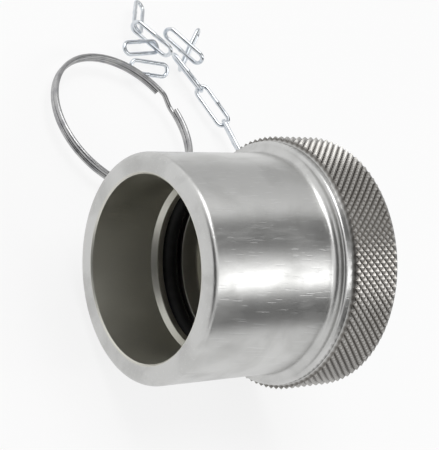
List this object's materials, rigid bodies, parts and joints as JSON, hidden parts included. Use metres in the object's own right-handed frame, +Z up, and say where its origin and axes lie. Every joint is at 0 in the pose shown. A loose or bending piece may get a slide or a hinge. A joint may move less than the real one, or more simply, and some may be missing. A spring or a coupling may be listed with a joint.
{
  "type": "threaded protection cap",
  "caption": "Turned cup-shaped cap with a knurled head, an inner seal and a captive link chain that ends in a split ring.",
  "frame": {"origin": "centre of the cap's mouth, on the cap's own axis", "axes": "+Z is up; +X is level and runs from the mouth towards the closed head, the cap's axis climbing 6.5 degrees from it as the cap lies on its side; +Y points to the side on which the chain and the split ring lie"},
  "size_m": [0.0972, 0.1625, 0.0767],
  "materials": {
    "turned_aluminium": "bare turned, lightly handled, with a knurled grip band",
    "seal_rubber": "matte black with a faint sheen",
    "plated_steel": "bright zinc plate with a bluish cast",
    "spring_steel": "drawn spring wire, satin grey"
  },
  "bodies": {
    "root": {"cap_body": "turned_aluminium", "o_ring": "seal_rubber", "chain_eye": "plated_steel", "chain_link_01": "plated_steel", "chain_link_02": "plated_steel", "chain_link_03": "plated_steel", "chain_link_04": "plated_steel", "chain_link_05": "plated_steel", "chain_link_06": "plated_steel", "chain_link_07": "plated_steel", "chain_link_08": "plated_steel", "chain_link_09": "plated_steel", "chain_link_10": "plated_steel", "chain_link_11": "plated_steel", "chain_link_12": "plated_steel", "chain_link_13": "plated_steel", "chain_link_14": "plated_steel", "chain_link_15": "plated_steel", "split_ring": "spring_steel"}
  },
  "joints": []
}
